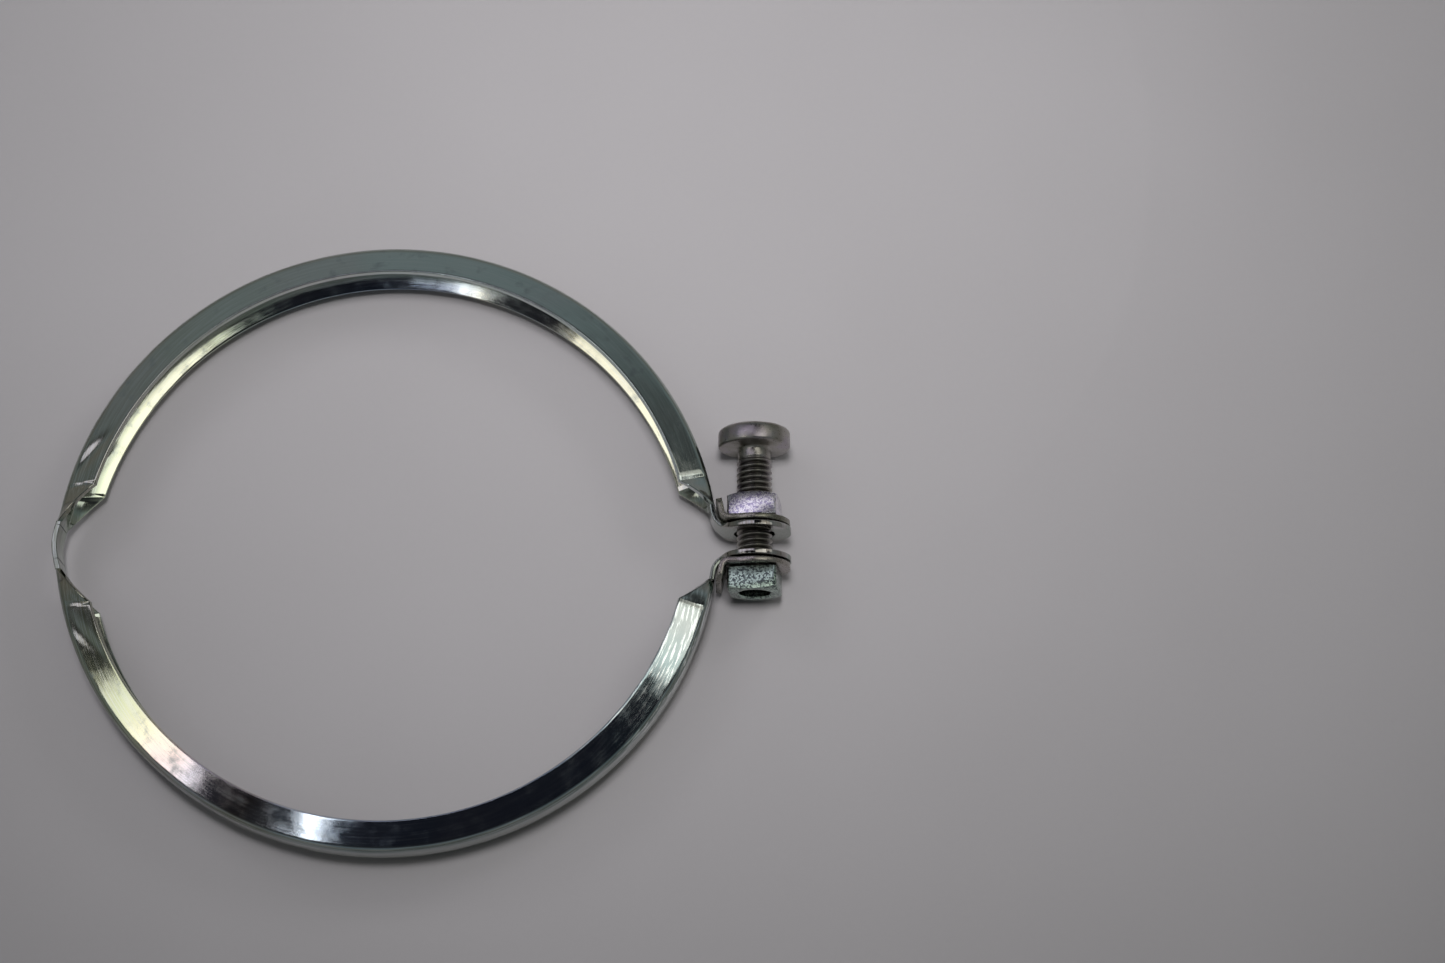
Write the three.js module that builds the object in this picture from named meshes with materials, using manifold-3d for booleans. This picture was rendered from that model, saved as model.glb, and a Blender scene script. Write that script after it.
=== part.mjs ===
// V-profile hose clamp: two profiled half rings of sheet steel, joined by a thin flexible bridge
// strap and pulled together by one screw through a pair of round ears.
// Millimetres. +X runs from the bridge strap to the screw, +Y is the screw's axis and points to
// its head, +Z is the ring's own axis. Every shape is drawn round the ring's centre, and the whole
// clamp is moved at the end so that the origin is the centre of its underside.

import * as THREE from 'three';
import { mergeVertices } from 'three/addons/utils/BufferGeometryUtils.js';
import Module from 'manifold-3d';

const wasm = await Module();
wasm.setup();

// Sheet and band profile
const SHEET = 0.9;
const RING_RADIUS = 55.3;        // outer face of the band's wall
const HALF_OFFSET = 2.9;         // each half ring is drawn from a centre this far past the joint line
const WALL_HALF_HEIGHT = 2.9;
const BAND_HALF_HEIGHT = 4.5;
const FLANGE_RUN = 4.9;          // how far a flange reaches towards the ring's axis

// Ends of the half rings, as distances from the joint line
const STRAP_HALF_LENGTH = 2.5;
const STRAP_BOW = 0.5;           // the strap bulges outwards in its middle
const BRIDGE_START = 2.9;
const BRIDGE_TAPER = { flat: 4.6, full: 11.9 };
const EAR_TAPER = { flat: 6.5, full: 11.3 };

// Ears, lock plates and nuts
const GAP = 0.3;                 // air between stacked pieces
const EAR_GAP = 4.1;
const EAR_RADIUS = 6.15;
const EAR_BEND = 3.2;            // middle of the sheet
const EAR_TIP_TURN = THREE.MathUtils.degToRad(4);   // the ear's outline stops this far short of its tip
const CLEARANCE_HOLE = 6.9;
const PLATE = { thickness: 0.95, radius: 6, halfWidth: 5.4, bend: 1.6, lip: 2.6, lean: 12 };
const NUT = { side: 8.2, height: 3.9, bore: 6.3, cornerRadius: 5.6, chamfer: 0.5 };
const NUT_TURN = { upper: -8, lower: 8 };

// Screw: the thread is drawn as a plain cylinder at its pitch diameter
const SCREW_X = 61.2;
const SCREW = { pitchDiameter: 5.35, seat: 17, tip: -7, headRadius: 6.1, headHeight: 3.2, dome: 0.8 };
const SOCKET = { acrossFlats: 4, depth: 2.2 };

const ARC_STEP = THREE.MathUtils.degToRad(3.5);
const ROUND_SIDES = 40;
const BOLT_SIDES = 32;

const MID_RADIUS = RING_RADIUS - SHEET / 2;
const EAR_MID_Y = EAR_GAP / 2 + SHEET / 2;
const STRAP_END_X = -MID_RADIUS * Math.cos(ringAngle(BRIDGE_START));
const PLATE_Y = EAR_GAP / 2 + SHEET + GAP;
const NUT_Y = PLATE_Y + PLATE.thickness + GAP;

// ---- Solids -------------------------------------------------------------------------------

function toSolid(geometry) {
  const bare = geometry.index ? geometry.toNonIndexed() : geometry.clone();
  bare.deleteAttribute('normal');
  bare.deleteAttribute('uv');
  const merged = mergeVertices(bare, 1e-4);
  return new wasm.Manifold(new wasm.Mesh({
    numProp: 3,
    vertProperties: new Float32Array(merged.attributes.position.array),
    triVerts: new Uint32Array(merged.index.array),
  }));
}

function toGeometry(solid) {
  const mesh = solid.getMesh();
  const geometry = new THREE.BufferGeometry();
  const positions = new Float32Array(mesh.numVert * 3);
  for (let i = 0; i < mesh.numVert; i += 1) {
    positions.set(mesh.vertProperties.subarray(i * mesh.numProp, i * mesh.numProp + 3), i * 3);
  }
  geometry.setAttribute('position', new THREE.BufferAttribute(positions, 3));
  geometry.setIndex(Array.from(mesh.triVerts));
  geometry.computeVertexNormals();
  return geometry;
}

// A cylinder along Y on the screw's axis, used to drill the holes.
function drill(diameter, y0, y1) {
  const geometry = new THREE.CylinderGeometry(diameter / 2, diameter / 2, y1 - y0, BOLT_SIDES);
  geometry.translate(SCREW_X, (y0 + y1) / 2, 0);
  return toSolid(geometry);
}

// ---- Band ---------------------------------------------------------------------------------

// A cross-section is eight points [n, z]: n is measured outwards from the middle of the wall's
// sheet. The flanges slope outwards in height as they run in, which makes the V.
function profiledSection() {
  const rise = BAND_HALF_HEIGHT - WALL_HALF_HEIGHT;
  const slope = Math.atan2(rise, FLANGE_RUN);
  const outer = SHEET / 2;
  const flangeEnd = [outer - FLANGE_RUN, BAND_HALF_HEIGHT];
  const underEnd = [
    flangeEnd[0] - SHEET * Math.sin(slope),
    flangeEnd[1] - SHEET * Math.cos(slope),
  ];
  const along = (SHEET * (1 - Math.sin(slope))) / Math.cos(slope);
  const innerCorner = [
    -outer,
    WALL_HALF_HEIGHT - SHEET * Math.cos(slope) + along * Math.sin(slope),
  ];
  return mirrored([[outer, WALL_HALF_HEIGHT], flangeEnd, underEnd, innerCorner]);
}

// A plain strip has the same eight points, spread over its two edges.
function stripSection(halfHeight) {
  const edge = [0.5, 1 / 6, -1 / 6, -0.5].map((part) => [part * SHEET, halfHeight]);
  return mirrored(edge);
}

function mirrored(upper) {
  const lower = upper.map(([n, z]) => [n, -z]).reverse();
  return [...upper, ...lower];
}

function blended(a, b, t) {
  return a.map(([n, z], i) => [
    THREE.MathUtils.lerp(n, b[i][0], t),
    THREE.MathUtils.lerp(z, b[i][1], t),
  ]);
}

// Angle on the half ring's circle at which it is y above the joint line, on the screw's side.
function ringAngle(y) {
  return Math.asin((y + HALF_OFFSET) / MID_RADIUS);
}

function ringStation(angle, section) {
  return {
    x: MID_RADIUS * Math.cos(angle),
    y: MID_RADIUS * Math.sin(angle) - HALF_OFFSET,
    nx: Math.cos(angle),
    ny: Math.sin(angle),
    section,
  };
}

function ringStations() {
  const profile = profiledSection();
  const strip = stripSection(WALL_HALF_HEIGHT);
  const bridgeStart = Math.PI - ringAngle(BRIDGE_START);
  const bridgeFlat = Math.PI - ringAngle(BRIDGE_TAPER.flat);
  const bridgeFull = Math.PI - ringAngle(BRIDGE_TAPER.full);
  const earFull = ringAngle(EAR_TAPER.full);
  const earFlat = ringAngle(EAR_TAPER.flat);
  const stations = [];
  const taperSteps = 4;

  stations.push(ringStation(bridgeStart, strip));
  for (let i = 0; i < taperSteps; i += 1) {
    const share = i / taperSteps;
    const angle = THREE.MathUtils.lerp(bridgeFlat, bridgeFull, share);
    stations.push(ringStation(angle, blended(strip, profile, share)));
  }
  const arcSteps = Math.round((bridgeFull - earFull) / ARC_STEP);
  for (let i = 0; i <= arcSteps; i += 1) {
    stations.push(ringStation(THREE.MathUtils.lerp(bridgeFull, earFull, i / arcSteps), profile));
  }
  for (let i = 1; i <= taperSteps; i += 1) {
    const share = 1 - i / taperSteps;
    const angle = THREE.MathUtils.lerp(earFull, earFlat, i / taperSteps);
    stations.push(ringStation(angle, blended(strip, profile, share)));
  }
  return stations;
}

// The strip leaves the circle, bends outwards and widens into the round ear. Its half width
// follows the ear's circle as soon as that is wider than the strip.
function earStations() {
  const bendAngle = Math.asin((EAR_MID_Y + EAR_BEND + HALF_OFFSET) / (MID_RADIUS + EAR_BEND));
  const centre = {
    x: (MID_RADIUS + EAR_BEND) * Math.cos(bendAngle),
    y: EAR_MID_Y + EAR_BEND,
  };
  const flatLength = SCREW_X - centre.x;
  const widthAt = (fromHole) => {
    const chord = Math.sqrt(Math.max(EAR_RADIUS ** 2 - fromHole ** 2, 0));
    return fromHole > 0 ? Math.max(WALL_HALF_HEIGHT, chord) : chord;
  };
  const stations = [];
  const bendSteps = 8;
  for (let i = 0; i <= bendSteps; i += 1) {
    const angle = THREE.MathUtils.lerp(bendAngle, Math.PI / 2, i / bendSteps);
    const fromHole = flatLength + EAR_BEND * (Math.PI / 2 - angle);
    stations.push({
      x: centre.x - EAR_BEND * Math.cos(angle),
      y: centre.y - EAR_BEND * Math.sin(angle),
      nx: Math.cos(angle),
      ny: Math.sin(angle),
      section: stripSection(widthAt(fromHole)),
    });
  }
  const startTurn = Math.acos(flatLength / EAR_RADIUS);
  const flatSteps = 14;
  for (let i = 1; i <= flatSteps; i += 1) {
    const turn = THREE.MathUtils.lerp(startTurn, Math.PI - EAR_TIP_TURN, i / flatSteps);
    const fromHole = EAR_RADIUS * Math.cos(turn);
    const section = stripSection(widthAt(fromHole));
    stations.push({ x: SCREW_X - fromHole, y: EAR_MID_Y, nx: 0, ny: 1, section });
  }
  return stations;
}

function sweep(stations) {
  const points = stations[0].section.length;
  const positions = [];
  for (const { x, y, nx, ny, section } of stations) {
    for (const [n, z] of section) {
      positions.push(x + n * nx, y + n * ny, z);
    }
  }
  const index = [];
  for (let s = 0; s < stations.length - 1; s += 1) {
    for (let i = 0; i < points; i += 1) {
      const next = (i + 1) % points;
      const a = s * points + i;
      const b = s * points + next;
      index.push(a, b, b + points, a, b + points, a + points);
    }
  }
  // Both ends are plain strips, closed by three quads each.
  const last = (stations.length - 1) * points;
  for (let i = 0; i < points / 2 - 1; i += 1) {
    const [a, b, c, d] = [i, i + 1, points - 2 - i, points - 1 - i];
    index.push(a, c, b, a, d, c);
    index.push(last + a, last + b, last + c, last + a, last + c, last + d);
  }
  const geometry = new THREE.BufferGeometry();
  geometry.setAttribute('position', new THREE.Float32BufferAttribute(positions, 3));
  geometry.setIndex(index);
  return geometry;
}

function bandHalf() {
  const blank = toSolid(sweep([...ringStations(), ...earStations()]));
  return toGeometry(blank.subtract(drill(CLEARANCE_HOLE, 0, PLATE_Y)));
}

// The strap is bowed outwards, so it is the space between two arcs, one sheet apart.
function bridgeStrap() {
  const radius = (STRAP_HALF_LENGTH ** 2 + STRAP_BOW ** 2) / (2 * STRAP_BOW);
  const halfTurn = Math.asin(STRAP_HALF_LENGTH / radius);
  const shape = new THREE.Shape();
  shape.absarc(0, 0, radius + SHEET / 2, Math.PI - halfTurn, Math.PI + halfTurn, false);
  shape.absarc(0, 0, radius - SHEET / 2, Math.PI + halfTurn, Math.PI - halfTurn, true);
  shape.closePath();
  const depth = 2 * WALL_HALF_HEIGHT;
  const geometry = new THREE.ExtrudeGeometry(shape, { depth, bevelEnabled: false, curveSegments: 6 });
  geometry.translate(STRAP_END_X + radius - STRAP_BOW, 0, -depth / 2);
  return geometry;
}

// ---- Lock plate ---------------------------------------------------------------------------

// Side view: a flat plate with a rounded bend on the ring's side and a lip that leans away from
// the nut. It is cut to its outline, a half disc that runs into straight sides.
function plateSideView() {
  const bendX = SCREW_X - PLATE.radius + PLATE.bend;
  const bendY = PLATE_Y + PLATE.bend;
  const inner = PLATE.bend - PLATE.thickness;
  const lean = THREE.MathUtils.degToRad(PLATE.lean);
  const end = Math.PI + lean;
  const lip = [-PLATE.lip * Math.sin(lean), PLATE.lip * Math.cos(lean)];
  const at = (radius, angle) => [bendX + radius * Math.cos(angle), bendY + radius * Math.sin(angle)];
  const outerEnd = at(PLATE.bend, end);
  const innerEnd = at(inner, end);
  const shape = new THREE.Shape();
  shape.moveTo(SCREW_X + PLATE.radius + 1, PLATE_Y + PLATE.thickness);
  shape.lineTo(bendX, PLATE_Y + PLATE.thickness);
  shape.absarc(bendX, bendY, inner, 1.5 * Math.PI, end, true);
  shape.lineTo(innerEnd[0] + lip[0], innerEnd[1] + lip[1]);
  shape.lineTo(outerEnd[0] + lip[0], outerEnd[1] + lip[1]);
  shape.lineTo(outerEnd[0], outerEnd[1]);
  shape.absarc(bendX, bendY, PLATE.bend, end, 1.5 * Math.PI, false);
  shape.lineTo(SCREW_X + PLATE.radius + 1, PLATE_Y);
  shape.closePath();
  const depth = 2 * PLATE.radius + 1;
  const geometry = new THREE.ExtrudeGeometry(shape, { depth, bevelEnabled: false, curveSegments: 6 });
  geometry.translate(0, 0, -depth / 2);
  return geometry;
}

function plateOutline() {
  const straightFrom = Math.acos(-Math.sqrt(1 - (PLATE.halfWidth / PLATE.radius) ** 2));
  const left = -PLATE.radius - PLATE.lip;
  const shape = new THREE.Shape();
  shape.absarc(0, 0, PLATE.radius, -straightFrom, straightFrom, false);
  shape.lineTo(left, PLATE.halfWidth);
  shape.lineTo(left, -PLATE.halfWidth);
  shape.closePath();
  const depth = 2 * PLATE.radius;
  const geometry = new THREE.ExtrudeGeometry(shape, { depth, bevelEnabled: false, curveSegments: 14 });
  geometry.rotateX(Math.PI / 2);
  geometry.translate(SCREW_X, PLATE_Y + depth - PLATE.thickness, 0);
  return geometry;
}

function lockPlate() {
  const cut = toSolid(plateSideView()).intersect(toSolid(plateOutline()));
  return toGeometry(cut.subtract(drill(CLEARANCE_HOLE, 0, NUT_Y)));
}

// ---- Nut and screw ------------------------------------------------------------------------

// A square nut with its corners chamfered to a circle on the face away from the ear.
function squareNut(turn) {
  const { side, height, cornerRadius, chamfer } = NUT;
  const block = new THREE.BoxGeometry(side, height, side);
  block.rotateY(THREE.MathUtils.degToRad(turn));
  const half = height / 2;
  const turned = new THREE.LatheGeometry([
    new THREE.Vector2(0, -half),
    new THREE.Vector2(cornerRadius, -half),
    new THREE.Vector2(cornerRadius, half - chamfer),
    new THREE.Vector2(cornerRadius - 2 * chamfer, half),
    new THREE.Vector2(0, half),
  ], ROUND_SIDES);
  for (const geometry of [block, turned]) {
    geometry.translate(SCREW_X, NUT_Y + half, 0);
  }
  const body = toSolid(block).intersect(toSolid(turned));
  return toGeometry(body.subtract(drill(NUT.bore, NUT_Y - 1, NUT_Y + height + 1)));
}

function clampScrew() {
  const { seat, tip, headRadius, headHeight, dome } = SCREW;
  const shank = SCREW.pitchDiameter / 2;
  const edge = 0.5;
  const top = seat + headHeight;
  const profile = [
    [0, tip],
    [shank - 0.6, tip],
    [shank, tip + 0.6],
    [shank, seat],
    [headRadius - 0.3, seat],
    [headRadius, seat + 0.3],
    [headRadius, top - edge],
    [headRadius - 0.15 * edge, top - 0.3 * edge],
    [headRadius - edge, top + 0.1],
    [headRadius * 0.6, top + dome * 0.75],
    [headRadius * 0.3, top + dome],
    [0, top + dome],
  ].map(([r, y]) => new THREE.Vector2(r, y));
  const body = new THREE.LatheGeometry(profile, ROUND_SIDES);
  body.translate(SCREW_X, 0, 0);
  const socketRadius = SOCKET.acrossFlats / 2 / Math.cos(Math.PI / 6);
  const socket = new THREE.CylinderGeometry(socketRadius, socketRadius, 2 * SOCKET.depth, 6);
  socket.translate(SCREW_X, top + dome, 0);
  return toGeometry(toSolid(body).subtract(toSolid(socket)));
}

// ---- Assembly -----------------------------------------------------------------------------

const ZINC = { color: 0x8d9599, roughness: 0.28, metalness: 0.95 };
const WARM_ZINC = { color: 0x8f8d88, roughness: 0.36, metalness: 0.9 };
const BRIGHT_ZINC = { color: 0xb6b4c4, roughness: 0.4, metalness: 0.9 };
const DARK_ZINC = { color: 0x5d665f, roughness: 0.42, metalness: 0.9 };

function named(name, geometry, finish) {
  const mesh = new THREE.Mesh(geometry, new THREE.MeshStandardMaterial(finish));
  mesh.name = name;
  return mesh;
}

// One half of the clamp: what belongs to the upper half is also the lower half, turned over.
function clampHalf(prefix, nutFinish) {
  const half = new THREE.Group();
  half.add(
    named(`${prefix}_band_half`, bandHalf(), ZINC),
    named(`${prefix}_lock_plate`, lockPlate(), WARM_ZINC),
    named(`${prefix}_nut`, squareNut(NUT_TURN[prefix]), nutFinish),
  );
  return half;
}

const clamp = new THREE.Group();
const upper = clampHalf('upper', BRIGHT_ZINC);
const lower = clampHalf('lower', DARK_ZINC);
lower.rotation.x = Math.PI;
clamp.add(
  upper,
  lower,
  named('bridge_strap', bridgeStrap(), ZINC),
  named('clamp_screw', clampScrew(), WARM_ZINC),
);

// The origin goes to the middle of the clamp's underside.
const farLeft = STRAP_END_X - STRAP_BOW - SHEET / 2;
const farRight = SCREW_X + EAR_RADIUS * Math.cos(EAR_TIP_TURN);
clamp.position.set(-(farLeft + farRight) / 2, 0, EAR_RADIUS);

export default clamp;
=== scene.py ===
import math

import bmesh
import bpy
from mathutils import Matrix, Vector


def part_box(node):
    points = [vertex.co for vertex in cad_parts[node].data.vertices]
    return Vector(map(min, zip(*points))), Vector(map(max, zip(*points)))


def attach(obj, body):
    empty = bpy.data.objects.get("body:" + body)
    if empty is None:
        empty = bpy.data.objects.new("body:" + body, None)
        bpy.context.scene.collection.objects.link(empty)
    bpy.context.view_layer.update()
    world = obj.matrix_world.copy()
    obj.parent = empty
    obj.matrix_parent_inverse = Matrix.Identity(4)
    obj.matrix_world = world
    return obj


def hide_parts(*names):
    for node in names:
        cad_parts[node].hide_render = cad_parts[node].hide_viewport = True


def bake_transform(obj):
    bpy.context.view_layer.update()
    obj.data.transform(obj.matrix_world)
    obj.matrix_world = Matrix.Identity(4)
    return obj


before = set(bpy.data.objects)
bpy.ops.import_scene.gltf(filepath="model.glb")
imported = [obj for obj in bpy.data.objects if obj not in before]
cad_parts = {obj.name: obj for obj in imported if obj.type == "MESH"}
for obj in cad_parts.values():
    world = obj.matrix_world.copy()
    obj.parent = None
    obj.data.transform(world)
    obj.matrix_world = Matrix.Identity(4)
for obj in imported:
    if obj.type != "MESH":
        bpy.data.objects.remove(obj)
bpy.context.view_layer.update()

MM = 0.001
MERGE_DISTANCE = 0.004 * MM
SLIVER_LENGTH = 0.002 * MM

# The ring's own frame: millimetres from the ring's centre, the screw's axis being the anchor.
screw_low, screw_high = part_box("clamp_screw")
SCREW_X = 61.2
CENTRE = Vector((
    (screw_low.x + screw_high.x) / 2 - SCREW_X * MM,
    0,
    (screw_low.z + screw_high.z) / 2,
))

# Sheet and band profile
SHEET = 0.9
RING_RADIUS = 55.3
MID_RADIUS = RING_RADIUS - SHEET / 2
HALF_OFFSET = 2.9                # each half ring's circle is centred this far past the joint line
WALL_HALF_HEIGHT = 2.9
BAND_HALF_HEIGHT = 4.5
FLANGE_RUN = 4.9
FOLD_RADIUS = 0.8                # middle of the sheet, between wall and flange
EDGE_ROUNDING = 0.2
WALL_STEPS, FOLD_STEPS, FLAT_STEPS, CORNER_STEPS = 3, 7, 16, 4
FLANGE_RISE = math.atan2(BAND_HALF_HEIGHT - WALL_HALF_HEIGHT, FLANGE_RUN)
FOLD_TURN = math.pi / 2 - FLANGE_RISE

# Ends of the half rings, as distances from the joint line
BRIDGE_START = 2.9
BRIDGE_TAPER = {"upper": (3.4, 10.6), "lower": (4.6, 11.9)}
BRIDGE_CREASE_LEAN = 1.6         # the crease runs straight across, not towards the ring's centre
EAR_TAPER = (6.5, 11.3)
BRIDGE_BULGE = 0.55
BRIDGE_BULGE_HALF_LENGTH = 6.0
SIDE_BULGE = 0.45
SIDE_BULGE_HALF_LENGTH = 24.0
WAVINESS = 0.014
CREASE_DEPTH = 0.12
CREASE_WIDTH = 0.7
FOLD_LINE_DEPTH = 0.2            # the soft fold that runs on from the bridge's crease
FOLD_LINE_WIDTH = 2.2
FOLD_LINE_START = 1.0
FOLD_LINE_RUN = 8.5
FOLD_EASE = 0.35                 # below 1, the flange folds up faster than it widens
WAVES = ((9, 1.0, 0.6), (17, 0.7, 2.1), (31, 0.5, 0.0))   # per turn, share of WAVINESS, phase

# Ears, lock plates and nuts
EAR_GAP = 4.1
EAR_RADIUS = 6.15
EAR_BEND = 3.2
EAR_MID_Y = EAR_GAP / 2 + SHEET / 2
HOLE_RADIUS = 3.45
TIP_TURN = math.radians(4)       # an outline stops this short of the round end's very tip
ROUND_END_STEPS = 40
BEND_STEPS = 16
STRAP_STEPS = 32
GAP = 0.3
PLATE_THICKNESS = 0.95
PLATE_RADIUS = 6.0
PLATE_HALF_WIDTH = 5.4
PLATE_BEND = 1.6
PLATE_LIP = 2.6
PLATE_LEAN = math.radians(12)
PLATE_ROUNDING = 0.26
LIP_CORNER = 1.2
LIP_STEPS = 10
PLATE_Y = EAR_GAP / 2 + SHEET + GAP
NUT_SIDE = 8.2
NUT_HEIGHT = 3.9
NUT_TURN = math.radians(8)
NUT_CORNER = 5.6
NUT_CHAMFER = 0.5
NUT_BORE = 3.15
NUT_MOUTH = 2.65                 # the lower nut's bore closes in at its free end
NUT_COUNTERSINK = 0.25
NUT_WORN_EDGE = 0.09
NUT_Y = PLATE_Y + PLATE_THICKNESS + GAP

# Screw
PITCH = 1.0
THREAD_RADIUS = 3.0
ROOT_RADIUS = 2.4
NECK_RADIUS = 2.78
SCREW_TIP = -7.0
THREAD_END = 15.3
HEAD_SEAT = 17.0
HEAD_RADIUS = 6.1
HEAD_HEIGHT = 3.2
HEAD_DOME = 0.75
SOCKET_FLATS = 4.0
SOCKET_DEPTH = 2.2
SCREW_SIDES = 72
STEPS_PER_PITCH = 12
CREST_GAIN, CREST_START = 1.25, 0.12
RUN_OUT = 1.1                    # the thread fades into the neck over this length
TIP_SHRINK, TIP_SLOPE = 0.35, 0.9


# ---- Mesh helpers ---------------------------------------------------------------------------

def lerp(a, b, t):
    return a + (b - a) * t


def steps(count):
    return [i / count for i in range(count + 1)]


def place(x, y, z, flip=False):
    """A point of the ring's frame in the row frame; flip turns it over about the X axis."""
    side = -1 if flip else 1
    return CENTRE + Vector((x, side * y, side * z)) * MM


def smooth_shade(mesh, degrees):
    mesh.polygons.foreach_set("use_smooth", [True] * len(mesh.polygons))
    mesh.set_sharp_from_angle(angle=math.radians(degrees))
    mesh.update()


def rows_object(name, rows, closed_rows, sharp=32, edge_columns=()):
    """A closed body from rows of points: neighbouring rows are joined and both ends are filled.
    Faces in the edge columns get the second material."""
    count = len(rows[0])
    verts = [p for row in rows for p in row]
    faces = []
    for r in range(len(rows) - 1):
        for i in range(count if closed_rows else count - 1):
            a = r * count + i
            b = r * count + (i + 1) % count
            faces.append((a, b, b + count, a + count))
    mesh = bpy.data.meshes.new(name)
    mesh.from_pydata(verts, [], faces)
    if edge_columns:
        columns = count if closed_rows else count - 1
        for face in mesh.polygons:
            face.material_index = int(face.index % columns in edge_columns)
    bm = bmesh.new()
    bm.from_mesh(mesh)
    bmesh.ops.remove_doubles(bm, verts=bm.verts, dist=MERGE_DISTANCE)
    bmesh.ops.dissolve_degenerate(bm, edges=bm.edges, dist=SLIVER_LENGTH)
    bmesh.ops.holes_fill(bm, edges=[e for e in bm.edges if e.is_boundary], sides=0)
    bmesh.ops.recalc_face_normals(bm, faces=bm.faces)
    bm.to_mesh(mesh)
    bm.free()
    smooth_shade(mesh, sharp)
    obj = bpy.data.objects.new(name, mesh)
    bpy.context.scene.collection.objects.link(obj)
    return obj


def carve(obj, tool, operation, sharp=32):
    """Cuts or trims obj with a tool body and throws the tool away."""
    cut = obj.modifiers.new("cut", "BOOLEAN")
    cut.operation = operation
    cut.solver = "EXACT"
    cut.object = tool
    graph = bpy.context.evaluated_depsgraph_get()
    mesh = bpy.data.meshes.new_from_object(obj.evaluated_get(graph))
    obj.modifiers.clear()
    obj.data = mesh
    smooth_shade(mesh, sharp)
    bpy.data.objects.remove(tool, do_unlink=True)
    return obj


def turned_rows(profile, sides, flip):
    """Rows of a body turned about the screw's axis; profile is [radius, y]."""
    rows = []
    for radius, y in profile:
        row = []
        for i in range(sides):
            turn = math.tau * i / sides
            row.append(place(SCREW_X + radius * math.sin(turn), y, radius * math.cos(turn), flip))
        rows.append(row)
    return rows


def drill(radius, y0, y1, flip):
    return rows_object("drill", turned_rows([(radius, y0), (radius, y1)], 64, flip), True)


# ---- Band -----------------------------------------------------------------------------------

def mid_sheet_lengths():
    """Half height of the straight wall, and the sheet's half width with the full flange."""
    corner = WALL_HALF_HEIGHT + SHEET / 2 * math.tan(FLANGE_RISE) - SHEET / 2 / math.cos(FLANGE_RISE)
    wall = corner - FOLD_RADIUS * math.tan(FOLD_TURN / 2)
    arc_end = (
        FOLD_RADIUS * (math.cos(FOLD_TURN) - 1),
        wall + FOLD_RADIUS * math.sin(FOLD_TURN),
    )
    flange_end = (
        SHEET / 2 - FLANGE_RUN - SHEET / 2 * math.sin(FLANGE_RISE),
        BAND_HALF_HEIGHT - SHEET / 2 * math.cos(FLANGE_RISE),
    )
    straight = math.dist(arc_end, flange_end)
    return wall, wall + FOLD_RADIUS * FOLD_TURN + straight


WALL_STRAIGHT, FULL_HALF_WIDTH = mid_sheet_lengths()


def section_point(along, offset, turn):
    """Point [n, z] a distance along the sheet's middle from the mid-plane, offset outwards."""
    arc = FOLD_RADIUS * turn
    bent = min(max(along - WALL_STRAIGHT, 0), arc)
    angle = bent / FOLD_RADIUS
    straight = max(along - WALL_STRAIGHT - arc, 0)
    n = FOLD_RADIUS * (math.cos(angle) - 1) - straight * math.sin(angle)
    z = min(along, WALL_STRAIGHT) + FOLD_RADIUS * math.sin(angle) + straight * math.cos(angle)
    return n + offset * math.cos(angle), z + offset * math.sin(angle)


def flat_face(along):
    """The dip of a section that nothing has been pressed into."""
    return 0.0


def band_section(half_width, bend, dip=flat_face):
    """Closed outline of the sheet across the band; bend is the share of the full fold, and dip
    gives how far the flange is pressed in at a distance along the sheet."""
    turn = FOLD_TURN * bend
    arc = FOLD_RADIUS * turn
    face_end = half_width - EDGE_ROUNDING
    stops = [WALL_STRAIGHT * t for t in steps(WALL_STEPS)[:-1]]
    stops += [WALL_STRAIGHT + min(arc, face_end - WALL_STRAIGHT) * t for t in steps(FOLD_STEPS)[:-1]]
    flat_start = min(WALL_STRAIGHT + arc, face_end)
    stops += [lerp(flat_start, face_end, t) for t in steps(FLAT_STEPS)]
    half = SHEET / 2
    outer = [section_point(s, half - dip(s) * flange_weight(s), turn) for s in stops]
    inner = [section_point(s, -half - dip(s) * flange_weight(s), turn) for s in stops]
    edge = []
    for side in (1, -1):
        for t in steps(CORNER_STEPS)[1:]:
            angle = math.pi / 2 * (t if side > 0 else 1 - t)
            along = face_end + EDGE_ROUNDING * math.sin(angle)
            offset = side * (half - EDGE_ROUNDING + EDGE_ROUNDING * math.cos(angle)) - dip(face_end)
            edge.append(section_point(along, offset, turn))
    upper = outer + edge[:-1] + inner[::-1]
    lower = [(n, -z) for n, z in upper[1:-1]][::-1]
    return upper + lower


def flange_weight(along):
    """0 on the wall, 1 on the flange, so that only the flange is pressed in."""
    return min(max((along - WALL_STRAIGHT) / (FOLD_RADIUS * FOLD_TURN), 0), 1)


def ring_angle(y):
    """Angle on a half ring's circle at which it is y above the joint line."""
    return math.asin((y + HALF_OFFSET) / MID_RADIUS)


def share_of_profile(y, taper):
    """0 where the band is a plain strip, 1 where it has its full profile."""
    flat, full = taper
    return min(max((y - flat) / (full - flat), 0), 1)


def bridge_bulge(y):
    """How far the ring's bridge side stands out of the half rings' circles."""
    reach = min(abs(y) / BRIDGE_BULGE_HALF_LENGTH, 1)
    swell = BRIDGE_BULGE * (0.5 + 0.5 * math.cos(math.pi * reach))
    return swell + SIDE_BULGE * math.exp(-(y / SIDE_BULGE_HALF_LENGTH) ** 2)


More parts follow.
